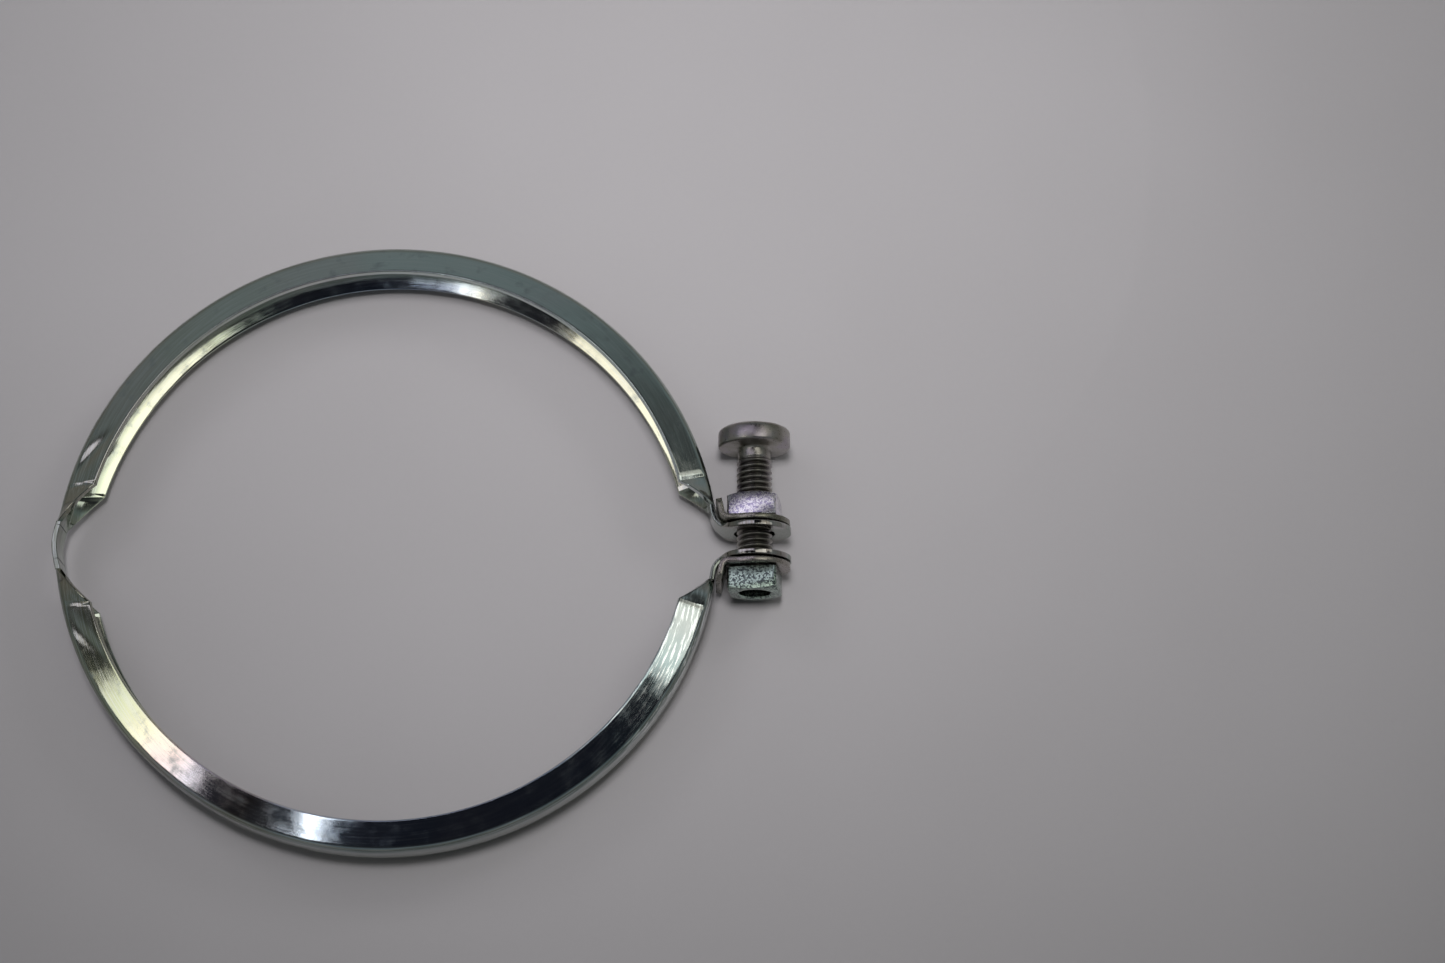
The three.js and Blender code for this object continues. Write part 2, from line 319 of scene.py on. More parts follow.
def crease_dip(y, along, full, left):
    """A pressed crease where the full profile ends, and a soft fold that runs on from it."""
    across = max(along - WALL_STRAIGHT, 0) / (FULL_HALF_WIDTH - WALL_STRAIGHT)
    lean = BRIDGE_CREASE_LEAN if left else 0
    crease = CREASE_DEPTH * max(0, 1 - abs(y - full + lean * (1 - across)) / CREASE_WIDTH)
    if not left:
        return crease
    fold_y = full + FOLD_LINE_START + FOLD_LINE_RUN * across
    fold = FOLD_LINE_DEPTH * math.exp(-((y - fold_y) / FOLD_LINE_WIDTH) ** 2)
    return crease + fold * math.sin(math.pi * min(across * 1.1, 1))


def ring_station(angle, half):
    y = MID_RADIUS * math.sin(angle) - HALF_OFFSET
    left = math.cos(angle) < 0
    taper = BRIDGE_TAPER[half] if left else EAR_TAPER
    share = share_of_profile(y, taper)
    radius = MID_RADIUS + (bridge_bulge(y) if left else 0)
    half_width = lerp(WALL_HALF_HEIGHT, FULL_HALF_WIDTH, share)
    bend = share ** FOLD_EASE
    swing = sum(size * math.sin(count * angle + phase) for count, size, phase in WAVES)
    wave = WAVINESS * share * swing

    def dip(along):
        return crease_dip(y, along, taper[1], left) + wave

    section = band_section(half_width, bend, dip)
    return {
        "x": radius * math.cos(angle),
        "y": radius * math.sin(angle) - HALF_OFFSET,
        "nx": math.cos(angle),
        "ny": math.sin(angle),
        "section": section,
    }


def ring_stations(half):
    """Stations round the half ring, close together where the profile fades and at the creases."""
    bridge_flat, bridge_full = BRIDGE_TAPER[half]
    ear_flat, ear_full = EAR_TAPER
    marks = [
        (math.pi - ring_angle(BRIDGE_START), 0),
        (math.pi - ring_angle(bridge_flat), 6),
        (math.pi - ring_angle(bridge_full + CREASE_WIDTH), 80),
        (ring_angle(ear_full + CREASE_WIDTH), 160),
        (ring_angle(ear_full), 3),
        (ring_angle(ear_full - CREASE_WIDTH), 3),
        (ring_angle(ear_flat), 12),
    ]
    angles = [marks[0][0]]
    for end, count in marks[1:]:
        start = angles[-1]
        angles += [lerp(start, end, t) for t in steps(count)[1:]]
    return [ring_station(angle, half) for angle in angles]


def ear_width(from_hole):
    chord = math.sqrt(max(EAR_RADIUS ** 2 - from_hole ** 2, 0))
    return max(WALL_HALF_HEIGHT, chord) if from_hole > 0 else chord


def ear_stations():
    """The strip bends outwards off the ring and widens into the round ear."""
    start = math.asin((EAR_MID_Y + EAR_BEND + HALF_OFFSET) / (MID_RADIUS + EAR_BEND))
    centre_x = (MID_RADIUS + EAR_BEND) * math.cos(start)
    centre_y = EAR_MID_Y + EAR_BEND
    flat_length = SCREW_X - centre_x
    stations = []
    for t in steps(BEND_STEPS):
        angle = lerp(start, math.pi / 2, t)
        from_hole = flat_length + EAR_BEND * (math.pi / 2 - angle)
        stations.append({
            "x": centre_x - EAR_BEND * math.cos(angle),
            "y": centre_y - EAR_BEND * math.sin(angle),
            "nx": math.cos(angle),
            "ny": math.sin(angle),
            "section": band_section(ear_width(from_hole), 0),
        })
    first_turn = math.acos(flat_length / EAR_RADIUS)
    for t in steps(ROUND_END_STEPS)[1:]:
        from_hole = EAR_RADIUS * math.cos(lerp(first_turn, math.pi - TIP_TURN, t))
        stations.append({
            "x": SCREW_X - from_hole,
            "y": EAR_MID_Y,
            "nx": 0,
            "ny": 1,
            "section": strip_section(ear_width(from_hole)),
        })
    return stations


def strip_section(half_width):
    """The plain strip's outline, also where it is narrower than the band's straight wall."""
    scale = min(1, half_width / WALL_HALF_HEIGHT)
    base = band_section(max(half_width, WALL_HALF_HEIGHT), 0)
    return [(n, z * scale) for n, z in base]


def station_rows(stations, flip=False):
    rows = []
    for s in stations:
        rows.append([
            place(s["x"] + n * s["nx"], s["y"] + n * s["ny"], z, flip)
            for n, z in s["section"]
        ])
    return rows


def edge_columns():
    """The section's faces that are the sheet's sheared edges."""
    face_stops = WALL_STEPS + FOLD_STEPS + FLAT_STEPS + 1
    edge_faces = 2 * CORNER_STEPS
    upper = range(face_stops - 1, face_stops - 1 + edge_faces)
    around = 2 * (2 * face_stops + edge_faces - 1) - 2
    return {*upper, *(around - 1 - i for i in upper)}


def band_half(name, flip):
    rows = station_rows(ring_stations("lower" if flip else "upper") + ear_stations(), flip)
    obj = rows_object(name, rows, True, 24, edge_columns())
    return carve(obj, drill(HOLE_RADIUS, 0, PLATE_Y, flip), "DIFFERENCE", sharp=24)


def bridge_strap():
    """The flat strap between the half rings, bulging outwards in its middle."""
    start = ring_angle(BRIDGE_START)
    flat_x = MID_RADIUS * (math.cos(start) + BRIDGE_START / MID_RADIUS * math.tan(start) / 2)
    sagitta = BRIDGE_START * math.tan(start) / 2

    def middle(y):
        return Vector((-flat_x + sagitta * (y / BRIDGE_START) ** 2 - bridge_bulge(y), y))

    stations = []
    for t in steps(STRAP_STEPS):
        y = lerp(-BRIDGE_START, BRIDGE_START, t)
        here = middle(y)
        run = middle(y + 0.01) - middle(y - 0.01)
        length = run.length
        stations.append({
            "x": here.x,
            "y": here.y,
            "nx": -run.y / length,
            "ny": run.x / length,
            "section": band_section(WALL_HALF_HEIGHT, 0),
        })
    return rows_object("bridge_strap_sheet", station_rows(stations), True, 24, edge_columns())


# ---- Lock plates and nuts -------------------------------------------------------------------

def plate_half_width(x):
    """Half width of the plate's outline at x from the screw's axis."""
    straight_until = -math.sqrt(PLATE_RADIUS ** 2 - PLATE_HALF_WIDTH ** 2)
    if x < straight_until:
        return PLATE_HALF_WIDTH
    return math.sqrt(max(PLATE_RADIUS ** 2 - x ** 2, 0))


def lock_plate(name, flip):
    """A round plate with a lip that is bent up on the ring's side and leans away from the nut."""
    half = PLATE_THICKNESS / 2
    bend_x = SCREW_X - PLATE_RADIUS + PLATE_BEND
    bend_y = PLATE_Y + PLATE_BEND
    bend_radius = PLATE_BEND - half
    lip_end = math.pi + PLATE_LEAN
    stations = []
    for t in steps(LIP_STEPS):
        left = PLATE_LIP * (1 - t)
        rounded = LIP_CORNER - math.sqrt(LIP_CORNER ** 2 - max(LIP_CORNER - PLATE_LIP * t, 0) ** 2)
        x = bend_x + bend_radius * math.cos(lip_end) - left * math.sin(PLATE_LEAN)
        y = bend_y + bend_radius * math.sin(lip_end) + left * math.cos(PLATE_LEAN)
        stations.append((x, y, lip_end, PLATE_HALF_WIDTH - rounded))
    for t in steps(LIP_STEPS)[1:]:
        angle = lerp(lip_end, 1.5 * math.pi, t)
        x = bend_x + bend_radius * math.cos(angle)
        y = bend_y + bend_radius * math.sin(angle)
        stations.append((x, y, angle, PLATE_HALF_WIDTH))
    start_turn = math.acos((SCREW_X - bend_x) / PLATE_RADIUS)
    for t in steps(ROUND_END_STEPS)[1:]:
        turn = lerp(start_turn, math.pi - TIP_TURN, t)
        x = SCREW_X - PLATE_RADIUS * math.cos(turn)
        stations.append((x, PLATE_Y + half, 1.5 * math.pi, plate_half_width(x - SCREW_X)))
    rows = []
    for x, y, angle, half_width in stations:
        rows.append([
            place(x + n * math.cos(angle), y + n * math.sin(angle), z, flip)
            for n, z in plate_section(half_width)
        ])
    obj = rows_object(name, rows, True, sharp=24)
    return carve(obj, drill(HOLE_RADIUS, 0, NUT_Y, flip), "DIFFERENCE", sharp=24)


def plate_section(half_width):
    """Rounded rectangle, PLATE_THICKNESS by twice the half width."""
    half = PLATE_THICKNESS / 2
    rounding = min(PLATE_ROUNDING, half_width * 0.6)
    corners = [
        (half - rounding, half_width - rounding, 0),
        (rounding - half, half_width - rounding, 1),
        (rounding - half, rounding - half_width, 2),
        (half - rounding, rounding - half_width, 3),
    ]
    points = []
    for n, z, quarter in corners:
        for t in steps(4):
            angle = (quarter + t) * math.pi / 2
            points.append((n + rounding * math.cos(angle), z + rounding * math.sin(angle)))
    return points


def square_nut(name, flip):
    """A square nut, its corners turned down to a circle on the face away from the ear."""
    reach = NUT_SIDE / math.sqrt(2)
    square = []
    for y in (NUT_Y, NUT_Y + NUT_HEIGHT):
        row = []
        for i in range(4):
            turn = math.pi / 4 + i * math.pi / 2 + (NUT_TURN if flip else -NUT_TURN)
            row.append(place(SCREW_X + reach * math.sin(turn), y, reach * math.cos(turn), flip))
        square.append(row)
    obj = rows_object(name, square, True)
    top = NUT_Y + NUT_HEIGHT
    blank = turned_rows([
        (NUT_CORNER - 0.12, NUT_Y - 0.001),
        (NUT_CORNER, NUT_Y + 0.2),
        (NUT_CORNER, top - NUT_CHAMFER * 1.1),
        (NUT_CORNER - NUT_CHAMFER, top - NUT_CHAMFER * 0.6),
        (NUT_CORNER - 2 * NUT_CHAMFER, top - 0.12),
        (NUT_CORNER - 3.2 * NUT_CHAMFER, top + 0.001),
    ], 96, flip)
    carve(obj, rows_object("blank", blank, True), "INTERSECT")
    bore = turned_rows([
        (NUT_BORE + NUT_COUNTERSINK, NUT_Y - 0.1),
        (NUT_BORE, NUT_Y + 0.3),
        (NUT_BORE, top - 0.9),
        (NUT_MOUTH if flip else NUT_BORE, top - 0.7),
        (NUT_MOUTH if flip else NUT_BORE, top - 0.25),
        (NUT_BORE, top + 0.1),
    ], 64, flip)
    carve(obj, rows_object("bore", bore, True), "DIFFERENCE")
    bevel = obj.modifiers.new("worn edges", "BEVEL")
    bevel.width = NUT_WORN_EDGE * MM
    bevel.segments = 3
    bevel.limit_method = "ANGLE"
    bevel.angle_limit = math.radians(34)
    bevel.harden_normals = True
    graph = bpy.context.evaluated_depsgraph_get()
    mesh = bpy.data.meshes.new_from_object(obj.evaluated_get(graph))
    obj.modifiers.clear()
    obj.data = mesh
    smooth_shade(mesh, 30)
    return obj


# ---- Screw ----------------------------------------------------------------------------------

def thread_radius(y, phase):
    """Radius of the threaded shank at a height and a place across the thread's pitch."""
    height = 1 - abs(2 * phase - 1)
    crest = min(max(CREST_GAIN * height - CREST_START, 0), 1)
    crest = crest * crest * (3 - 2 * crest)
    run_out = min(max((THREAD_END - y) / RUN_OUT, 0), 1)
    core = lerp(NECK_RADIUS, ROOT_RADIUS, run_out)
    radius = lerp(core, lerp(NECK_RADIUS, THREAD_RADIUS, run_out), crest)
    return min(radius, ROOT_RADIUS - TIP_SHRINK + TIP_SLOPE * (y - SCREW_TIP))


def clamp_screw():
    """A helical thread, then the neck, the low domed head and its hexagon socket."""
    turns = (THREAD_END - SCREW_TIP) / PITCH
    rows = []
    for k in range(-STEPS_PER_PITCH, round(turns * STEPS_PER_PITCH) + 1):
        row = []
        phase = (k / STEPS_PER_PITCH) % 1
        for i in range(SCREW_SIDES + 1):
            turn = math.tau * i / SCREW_SIDES
            y = SCREW_TIP + PITCH * (k / STEPS_PER_PITCH + i / SCREW_SIDES)
            y = min(max(y, SCREW_TIP), THREAD_END)
            radius = thread_radius(y, phase)
            row.append(place(SCREW_X + radius * math.sin(turn), y, radius * math.cos(turn)))
        rows.append(row)
    top = HEAD_SEAT + HEAD_HEIGHT
    profile = [
        (NECK_RADIUS, THREAD_END + 0.3), (NECK_RADIUS, HEAD_SEAT - 0.6),
        (NECK_RADIUS + 0.07, HEAD_SEAT - 0.3), (NECK_RADIUS + 0.28, HEAD_SEAT - 0.08),
        (NECK_RADIUS + 0.6, HEAD_SEAT), (HEAD_RADIUS - 0.5, HEAD_SEAT + 0.02),
        (HEAD_RADIUS - 0.2, HEAD_SEAT + 0.1), (HEAD_RADIUS - 0.05, HEAD_SEAT + 0.25),
        (HEAD_RADIUS, HEAD_SEAT + 0.5), (HEAD_RADIUS, top - 0.75),
        (HEAD_RADIUS - 0.06, top - 0.45), (HEAD_RADIUS - 0.25, top - 0.18),
        (HEAD_RADIUS - 0.6, top + 0.02), (HEAD_RADIUS * 0.75, top + HEAD_DOME * 0.45),
        (HEAD_RADIUS * 0.58, top + HEAD_DOME * 0.78), (HEAD_RADIUS * 0.45, top + HEAD_DOME * 0.93),
    ]
    for radius, y in profile:
        rows.append(ring_row(y, lambda turn, r=radius: r))
    hexagon = [
        (1.06, top + HEAD_DOME), (1.0, top + HEAD_DOME - 0.08),
        (1.0, top + HEAD_DOME - SOCKET_DEPTH), (0.55, top + HEAD_DOME - SOCKET_DEPTH - 0.15),
    ]
    for share, y in hexagon:
        rows.append(ring_row(y, lambda turn, s=share: s * hexagon_radius(turn)))
    return rows_object("clamp_screw_threaded", rows, False, sharp=50)


def hexagon_radius(turn):
    """Distance from the screw's axis to the socket's wall."""
    sector = turn % (math.pi / 3) - math.pi / 6
    return SOCKET_FLATS / 2 / math.cos(sector)


def ring_row(y, radius_at):
    """A row round the screw's axis; its last point is its first again, as in the thread's rows."""
    row = []
    for i in range(SCREW_SIDES + 1):
        turn = math.tau * i / SCREW_SIDES
        radius = radius_at(turn)
        row.append(place(SCREW_X + radius * math.sin(turn), y, radius * math.cos(turn)))
    return row


# ---- Materials ------------------------------------------------------------------------------

def fill_ramp(ramp, stops):
    while len(ramp.elements) < len(stops):
        ramp.elements.new(0.5)
    for element, (where, colour) in zip(ramp.elements, stops):
        element.position = where
        element.color = (*colour, 1)


class Nodes:
    """Short hands for building one material's node tree."""

    def __init__(self, name):
        self.material = bpy.data.materials.new(name)
        self.material.use_nodes = True
        self.tree = self.material.node_tree
        self.shader = self.tree.nodes["Principled BSDF"]
        self.position = self.add("ShaderNodeTexCoord").outputs["Object"]

    def add(self, kind, **settings):
        node = self.tree.nodes.new(kind)
        for key, value in settings.items():
            setattr(node, key, value)
        return node

    def feed(self, socket, value):
        if isinstance(value, bpy.types.NodeSocket):
            self.tree.links.new(value, socket)
        else:
            socket.default_value = value

    def math(self, operation, *values):
        node = self.add("ShaderNodeMath", operation=operation)
        for socket, value in zip(node.inputs, values):
            self.feed(socket, value)
        return node.outputs[0]

    def vector(self, operation, *values):
        node = self.add("ShaderNodeVectorMath", operation=operation)
        for socket, value in zip(node.inputs, values):
            self.feed(socket, value)
        return node.outputs["Value" if operation in ("LENGTH", "DISTANCE") else "Vector"]

    def stretched(self, source, factors):
        return self.vector("MULTIPLY", source, factors)

    def noise(self, vector, scale, detail=3.0, roughness=0.55):
        node = self.add("ShaderNodeTexNoise")
        self.feed(node.inputs["Vector"], vector)
        node.inputs["Scale"].default_value = scale
        node.inputs["Detail"].default_value = detail
        node.inputs["Roughness"].default_value = roughness
        return node.outputs["Fac"]

    def ramp(self, value, stops):
        node = self.add("ShaderNodeValToRGB")
        fill_ramp(node.color_ramp, stops)
        self.feed(node.inputs["Fac"], value)
        return node.outputs["Color"]

    def mix(self, factor, a, b):
        node = self.add("ShaderNodeMix", data_type="RGBA")
        self.feed(node.inputs["Factor"], factor)
        self.feed(node.inputs["A"], a if isinstance(a, bpy.types.NodeSocket) else (*a, 1))
        self.feed(node.inputs["B"], b if isinstance(b, bpy.types.NodeSocket) else (*b, 1))
        return node.outputs["Result"]

    def between(self, value, low, high, to_low=0.0, to_high=1.0):
        node = self.add("ShaderNodeMapRange")
        self.feed(node.inputs["Value"], value)
        for socket, number in zip(node.inputs[1:5], (low, high, to_low, to_high)):
            self.feed(socket, number)
        return node.outputs["Result"]

    def bump(self, height, distance, strength=1.0, under=None):
        node = self.add("ShaderNodeBump")
        self.feed(node.inputs["Height"], height)
        node.inputs["Distance"].default_value = distance
        node.inputs["Strength"].default_value = strength
        if under is not None:
            self.feed(node.inputs["Normal"], under)
        return node.outputs["Normal"]

    def finish(self, colour, roughness, normal, metallic=1.0):
        self.shader.inputs["Metallic"].default_value = metallic
        self.feed(self.shader.inputs["Base Color"], colour)
        self.feed(self.shader.inputs["Roughness"], roughness)
        self.feed(self.shader.inputs["Normal"], normal)
        return self.material


# The passivated film's tint round the ring, from the bridge by way of the lower half to the bridge
# again, with painted light in it:
# painted highlights and painted dark reflection bands where the band mirrors the lamps and the dark
# room, and painted shade by the ears; the flanges below the mid-plane have their own.
UPPER_FILM_AND_PAINTED_LIGHT = [
    (0.0, (0.30, 0.28, 0.23)), (0.045, (0.32, 0.32, 0.25)), (0.08, (0.54, 0.58, 0.40)),
    (0.105, (0.86, 0.82, 0.60)), (0.125, (0.88, 0.72, 0.70)), (0.145, (0.78, 0.74, 0.86)),
    (0.172, (0.36, 0.30, 0.27)), (0.195, (0.60, 0.64, 0.70)), (0.21, (0.80, 0.86, 0.94)),
    (0.24, (0.36, 0.43, 0.54)), (0.37, (0.30, 0.38, 0.46)), (0.43, (0.36, 0.45, 0.46)),
    (0.479, (0.42, 0.48, 0.46)), (0.485, (0.22, 0.21, 0.18)), (0.517, (0.22, 0.21, 0.18)),
    (0.524, (0.50, 0.57, 0.55)), (0.58, (0.52, 0.60, 0.57)), (0.75, (0.55, 0.62, 0.60)),
    (0.87, (0.46, 0.49, 0.44)), (1.0, (0.34, 0.32, 0.26)),
]
# Painted highlights and painted dark bands for the far flange's inner face, and painted shade by the
# ears.
LOWER_FILM_AND_PAINTED_LIGHT = [
    (0.0, (0.48, 0.52, 0.42)), (0.25, (0.34, 0.38, 0.37)), (0.479, (0.44, 0.47, 0.42)),
    (0.485, (0.22, 0.21, 0.18)), (0.517, (0.22, 0.21, 0.18)), (0.524, (0.70, 0.70, 0.56)),
    (0.56, (0.84, 0.83, 0.64)), (0.64, (0.72, 0.70, 0.54)), (0.675, (0.30, 0.34, 0.35)),
    (0.70, (0.86, 0.82, 0.68)), (0.725, (0.34, 0.38, 0.46)), (0.76, (0.26, 0.33, 0.44)),
    (0.82, (0.28, 0.38, 0.42)), (0.85, (0.74, 0.80, 0.62)), (0.92, (0.90, 0.90, 0.66)),
    (1.0, (0.66, 0.76, 0.60)),
]


def band_zinc():
    """Bright zinc on rolled strip: brushed along the band, faintly iridescent, with handling marks; its
    colour also holds painted highlights, reflections and shade.
    """
    n = Nodes("band_zinc")
    local = n.vector("SUBTRACT", n.position, tuple(CENTRE))
    split = n.add("ShaderNodeSeparateXYZ")
    n.feed(split.inputs[0], local)
    x, y, z = split.outputs
    angle = n.math("ARCTAN2", y, x)
    radius = n.math("SQRT", n.math("ADD", n.math("MULTIPLY", x, x), n.math("MULTIPLY", y, y)))
    join = n.add("ShaderNodeCombineXYZ")
    n.feed(join.inputs[0], n.math("MULTIPLY", angle, RING_RADIUS * MM))
    n.feed(join.inputs[1], radius)
    n.feed(join.inputs[2], z)
    unrolled = join.outputs[0]
    brush = n.noise(n.stretched(unrolled, (90, 5200, 3000)), 1.0, detail=4)
    scratch = n.noise(n.stretched(unrolled, (220, 2600, 1500)), 1.0, detail=2, roughness=0.7)
    mottle = n.noise(n.position, 420, detail=4)
    cloud = n.noise(n.position, 55, detail=2)
    grain = n.noise(n.position, 5200, detail=2)
    around = n.between(n.math("ADD", angle, n.between(cloud, 0.3, 0.7, -0.09, 0.09)), -math.pi, math.pi)
    # painted light: these ramps set highlight, reflection and shade colours by angle round the ring
    film_and_painted_light = n.mix(n.math("GREATER_THAN", z, 0.0), n.ramp(around, LOWER_FILM_AND_PAINTED_LIGHT), n.ramp(around, UPPER_FILM_AND_PAINTED_LIGHT))
    # painted shade: the straight wall's faces are darkened to dark green, standing in for the shaded
    # table they mirror
    painted_wall_shade = n.between(n.math("ABSOLUTE", z), WALL_HALF_HEIGHT * MM, 3.3 * MM, 0.75, 0.0)
    film_and_painted_light = n.mix(n.between(cloud, 0.5, 0.68, 0.0, 0.25), film_and_painted_light, (0.62, 0.55, 0.57))
    film_and_painted_light = n.mix(painted_wall_shade, film_and_painted_light, (0.20, 0.24, 0.20))
    wear_and_painted_light = n.mix(n.between(brush, 0.44, 0.64, 0.0, 0.4), film_and_painted_light, (0.66, 0.69, 0.68))
    # Scratches on the upper flange's near right part, painted near white as streaky highlights.
    scratches_and_painted_streaks = n.math(
        "MULTIPLY",
        n.math("MULTIPLY", n.between(around, 0.36, 0.42), n.between(around, 0.47, 0.485, 1.0, 0.0)),
        n.math("MULTIPLY", n.between(scratch, 0.53, 0.6), n.math("GREATER_THAN", z, 0.0)),
    )
    wear_and_painted_light = n.mix(scratches_and_painted_streaks, wear_and_painted_light, (0.92, 0.97, 0.96))
    stains_and_painted_light = n.mix(n.between(mottle, 0.58, 0.72, 0.0, 0.5), wear_and_painted_light, (0.34, 0.38, 0.40))
    roughness = n.math(
        "ADD",
        n.between(brush, 0.3, 0.7, 0.06, 0.12),
        n.between(mottle, 0.45, 0.75, 0.0, 0.10),
    )
    normal = n.bump(n.noise(n.position, 130, detail=1), 0.00035, 0.25)
    normal = n.bump(scratch, 0.00002, 0.35, normal)
    normal = n.bump(grain, 0.00001, 0.2, normal)
    return n.finish(stains_and_painted_light, roughness, normal)


def cut_edge_zinc():
    """The sheet's sheared edges: the same zinc over a torn, duller face."""
    n = Nodes("cut_edge_zinc")
    fine = n.noise(n.position, 1900, detail=3)
    broad = n.noise(n.position, 260, detail=2)
    colour = n.ramp(broad, [
        (0.35, (0.32, 0.32, 0.27)), (0.55, (0.44, 0.45, 0.40)), (0.7, (0.40, 0.37, 0.37)),
    ])
    roughness = n.between(fine, 0.3, 0.7, 0.26, 0.42)
    return n.finish(colour, roughness, n.bump(fine, 0.00004, 0.5))


def plate_zinc():
    """Satin zinc on the lock plates, slightly warm."""
    n = Nodes("plate_zinc")
    cloud = n.noise(n.position, 160, detail=3)
    fine = n.noise(n.position, 2600, detail=3)
    colour = n.ramp(cloud, [
        (0.32, (0.22, 0.22, 0.18)), (0.52, (0.34, 0.32, 0.29)), (0.7, (0.36, 0.32, 0.33)),
    ])
    roughness = n.between(fine, 0.3, 0.7, 0.2, 0.38)
    normal = n.bump(cloud, 0.0002, 0.2)
    normal = n.bump(fine, 0.00003, 0.4, normal)
    return n.finish(colour, roughness, normal)


GRAINS_PER_METRE = 3800


def nut_zinc(name, pale, patch, dark):
    """Crystalline zinc on a cropped nut: grains that are pale or dark, with cloudy patches."""
    n = Nodes(name)
    fine = n.noise(n.position, 3600, detail=2, roughness=0.6)
    broad = n.noise(n.position, 900, detail=3)
    grains = n.add("ShaderNodeTexVoronoi")
    grains.inputs["Scale"].default_value = GRAINS_PER_METRE
    n.feed(grains.inputs["Vector"], n.position)
    shade = n.add("ShaderNodeSeparateXYZ")
    n.feed(shade.inputs[0], grains.outputs["Color"])
    base = n.mix(n.between(shade.outputs["X"], 0.3, 0.55), dark, pale)
    colour = n.mix(n.between(broad, 0.52, 0.68, 0.0, 0.55), base, patch)
    roughness = n.between(fine, 0.3, 0.7, 0.27, 0.18)
    normal = n.bump(fine, 0.00001, 0.2)
    return n.finish(colour, roughness, normal)


def screw_zinc():
    """Warm satin zinc, with painted shade that darkens the hollows of the thread."""
    n = Nodes("screw_zinc")
    fine = n.noise(n.position, 3000, detail=3)
    broad = n.noise(n.position, 240, detail=3)
    colour = n.ramp(broad, [
        (0.34, (0.26, 0.25, 0.21)), (0.52, (0.36, 0.345, 0.32)), (0.68, (0.38, 0.345, 0.38)),
    ])
    axis = Vector((CENTRE.x + SCREW_X * MM, 0, CENTRE.z))
    across = n.stretched(n.vector("SUBTRACT", n.position, tuple(axis)), (1, 0, 1))
    # painted shade: the thread's roots, found by distance from the axis, are darkened to near black
    painted_groove_shade = n.between(n.vector("LENGTH", across), 2.5 * MM, 2.74 * MM, 0.85, 0.0)
    colour = n.mix(painted_groove_shade, colour, (0.06, 0.055, 0.05))
    roughness = n.between(fine, 0.3, 0.7, 0.26, 0.34)
    normal = n.bump(fine, 0.000006, 0.15)
    return n.finish(colour, roughness, normal)


def floor_paint():
    """The pale table, matt and a little uneven."""
    n = Nodes("floor_paint")
    cloud = n.noise(n.position, 9, detail=3)
    fine = n.noise(n.position, 900, detail=3)
    colour = n.ramp(cloud, [(0.3, (0.245, 0.24, 0.242)), (0.7, (0.262, 0.257, 0.26))])
    roughness = n.between(fine, 0.3, 0.7, 0.45, 0.6)
    return n.finish(colour, roughness, n.bump(fine, 0.00002, 0.2), metallic=0.0)


# ---- Stage ----------------------------------------------------------------------------------

WINDOW_HEIGHT = 1.2
FLOOR_HALF_SIZE = 2.5
FLOOR_THICKNESS = 0.02
ROOM_BY_HEIGHT = [               # the room's light from straight down (0) to straight up (1)
    (0.0, (0.21, 0.205, 0.19)), (0.35, (0.20, 0.205, 0.20)), (0.58, (0.175, 0.205, 0.215)),
    (0.70, (0.07, 0.075, 0.075)), (0.84, (0.015, 0.016, 0.02)), (1.0, (0.01, 0.01, 0.014)),
]


def make_camera():
    elevation = math.radians(73)
    distance = 0.523
    aim = Vector((0.0499, 0.0113, CENTRE.z))
    data = bpy.data.cameras.new("camera")
    data.sensor_width = 36
    data.lens = 77.2
    camera = bpy.data.objects.new("camera", data)
    camera.location = aim + distance * Vector((0, -math.cos(elevation), math.sin(elevation)))
    camera.rotation_euler = (math.pi / 2 - elevation, 0, 0)
    bpy.context.scene.collection.objects.link(camera)
    bpy.context.scene.camera = camera


def soft_light(name, direction, distance, size, power, colour, azimuth=0, in_reflections=True):
    """A rectangular light that looks at the ring's centre from a direction; its first side runs
    level, at an azimuth in degrees."""
    data = bpy.data.lights.new(name, "AREA")
    data.shape = "RECTANGLE"
    data.size, data.size_y = size
    data.energy = power
    data.color = colour
    light = bpy.data.objects.new(name, data)
    back = Vector(direction).normalized()
    level = Vector((math.cos(math.radians(azimuth)), math.sin(math.radians(azimuth)), 0))
    side = (level - level.dot(back) * back).normalized()
    light.location = CENTRE + back * distance
    light.rotation_euler = Matrix((side, back.cross(side), back)).transposed().to_euler()
    light.visible_glossy = in_reflections
    light.visible_camera = False
    bpy.context.scene.collection.objects.link(light)


def make_lights():
    """Windows that the band mirrors, and fills that reach the table but no reflection."""
    up = WINDOW_HEIGHT
    soft_light("left_window", (-0.80, -0.145, up), 1.45, (0.44, 0.54), 1.0, (1.0, 0.98, 0.94), 146)
    soft_light("right_window", (0.50, 0.107, up), 1.32, (0.78, 0.52), 1.7, (1.0, 1.0, 0.93), 9)
    soft_light("slit", (-0.301, -0.43, up), 1.31, (0.075, 0.5), 0.32, (0.92, 0.96, 1.0), -16)
    soft_light("back_left", (-0.55, 0.41, up), 1.38, (1.25, 0.32), 1.4, (0.90, 0.86, 1.0))
    soft_light("back_right", (1.0, 0.52, up), 1.65, (0.95, 0.3), 0.55, (1.0, 0.95, 0.84))
    fill = {"in_reflections": False}
    fill_size = (0.14, 0.14)
    soft_light("left_fill", (-0.22, 0.24, 0.31), 0.44, fill_size, 0.27, (0.98, 0.96, 1.0), **fill)
    soft_light("right_fill", (0.34, 0.28, 0.32), 0.52, fill_size, 0.45, (1.0, 0.97, 0.99), **fill)
    make_overhead()


def make_overhead():
    """A soft-edged pool of light on the table, brightest behind the ring and to the right."""
    data = bpy.data.lights.new("overhead", "SPOT")
    data.energy = 42
    data.color = (1.0, 0.97, 1.0)
    data.spot_size = math.radians(26)
    data.spot_blend = 1.0
    data.shadow_soft_size = 0.12
    light = bpy.data.objects.new("overhead", data)
    light.location = (0.04, 0.075, 0.9)
    light.visible_glossy = False
    bpy.context.scene.collection.objects.link(light)


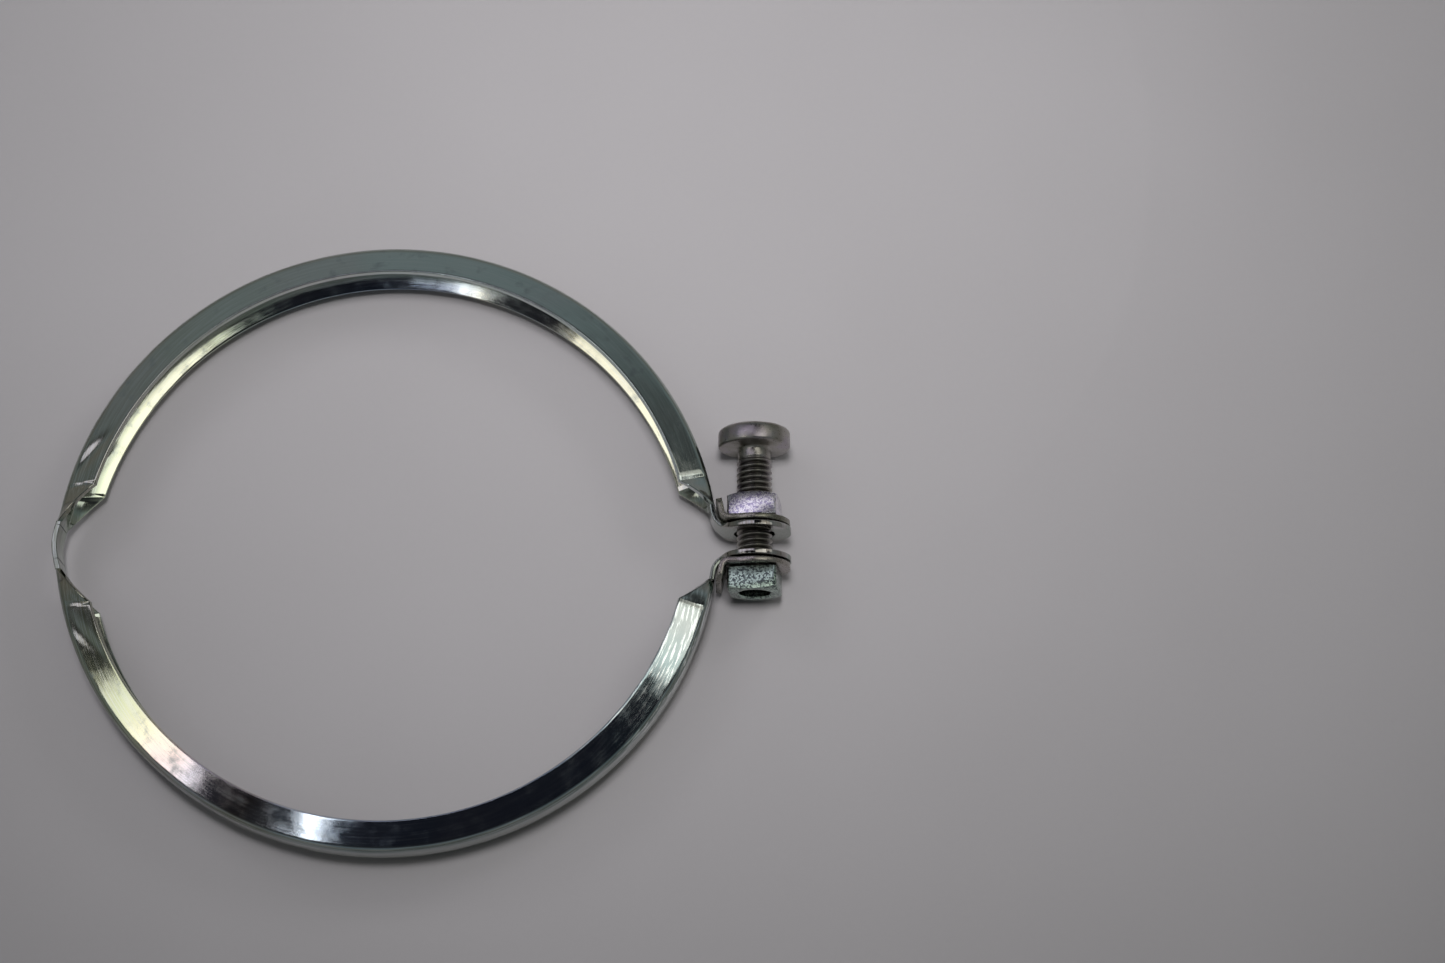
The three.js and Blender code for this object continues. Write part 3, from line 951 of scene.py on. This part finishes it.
def make_world():
    """A dim room, dark overhead."""
    world = bpy.data.worlds.new("room")
    world.use_nodes = True
    tree = world.node_tree
    background = tree.nodes["Background"]
    coords = tree.nodes.new("ShaderNodeTexCoord")
    split = tree.nodes.new("ShaderNodeSeparateXYZ")
    ramp = tree.nodes.new("ShaderNodeValToRGB")
    fill_ramp(ramp.color_ramp, ROOM_BY_HEIGHT)
    tree.links.new(coords.outputs["Generated"], split.inputs[0])
    tree.links.new(split.outputs["Z"], ramp.inputs["Fac"])
    tree.links.new(ramp.outputs["Color"], background.inputs["Color"])
    bpy.context.scene.world = world


def make_floor():
    corners = ((1, 1), (-1, 1), (-1, -1), (1, -1))
    rows = []
    for z in (0.0, -FLOOR_THICKNESS):
        rows.append([Vector((FLOOR_HALF_SIZE * x, FLOOR_HALF_SIZE * y, z)) for x, y in corners])
    floor = rows_object("floor", rows, True)
    floor.data.materials.append(floor_paint())


# ---- Assembly -------------------------------------------------------------------------------

def dress(obj, materials, body, node):
    """Gives a piece its materials, hides the CAD part of that name and, when a body is named, hangs it
    on that body.
    """
    obj.data.materials.clear()
    for material in materials:
        obj.data.materials.append(material)
    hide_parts(node)
    if body:
        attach(obj, body)
    return obj


make_camera()
make_world()
make_lights()
make_floor()

band = [band_zinc(), cut_edge_zinc()]
plate = [plate_zinc()]
bright_nut = [nut_zinc("bright_nut_zinc", (1.0, 0.98, 1.0), (0.98, 0.97, 1.0), (0.50, 0.46, 0.64))]
dark_nut = [nut_zinc("dark_nut_zinc", (0.44, 0.55, 0.48), (0.17, 0.22, 0.20), (0.08, 0.10, 0.10))]
screw = [screw_zinc()]

dress(band_half("upper_band_half_profiled", False), band, "upper_half", "upper_band_half")
dress(band_half("lower_band_half_profiled", True), band, "lower_half", "lower_band_half")
strap = dress(bridge_strap(), band, None, "bridge_strap")
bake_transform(strap)
dress(lock_plate("upper_lock_plate_lipped", False), plate, "upper_half", "upper_lock_plate")
dress(lock_plate("lower_lock_plate_lipped", True), plate, "lower_half", "lower_lock_plate")
dress(square_nut("upper_nut_square", False), bright_nut, "upper_nut", "upper_nut")
dress(square_nut("lower_nut_square", True), dark_nut, "lower_half", "lower_nut")
dress(clamp_screw(), screw, "screw", "clamp_screw")

bpy.context.scene.view_settings.view_transform = "Standard"
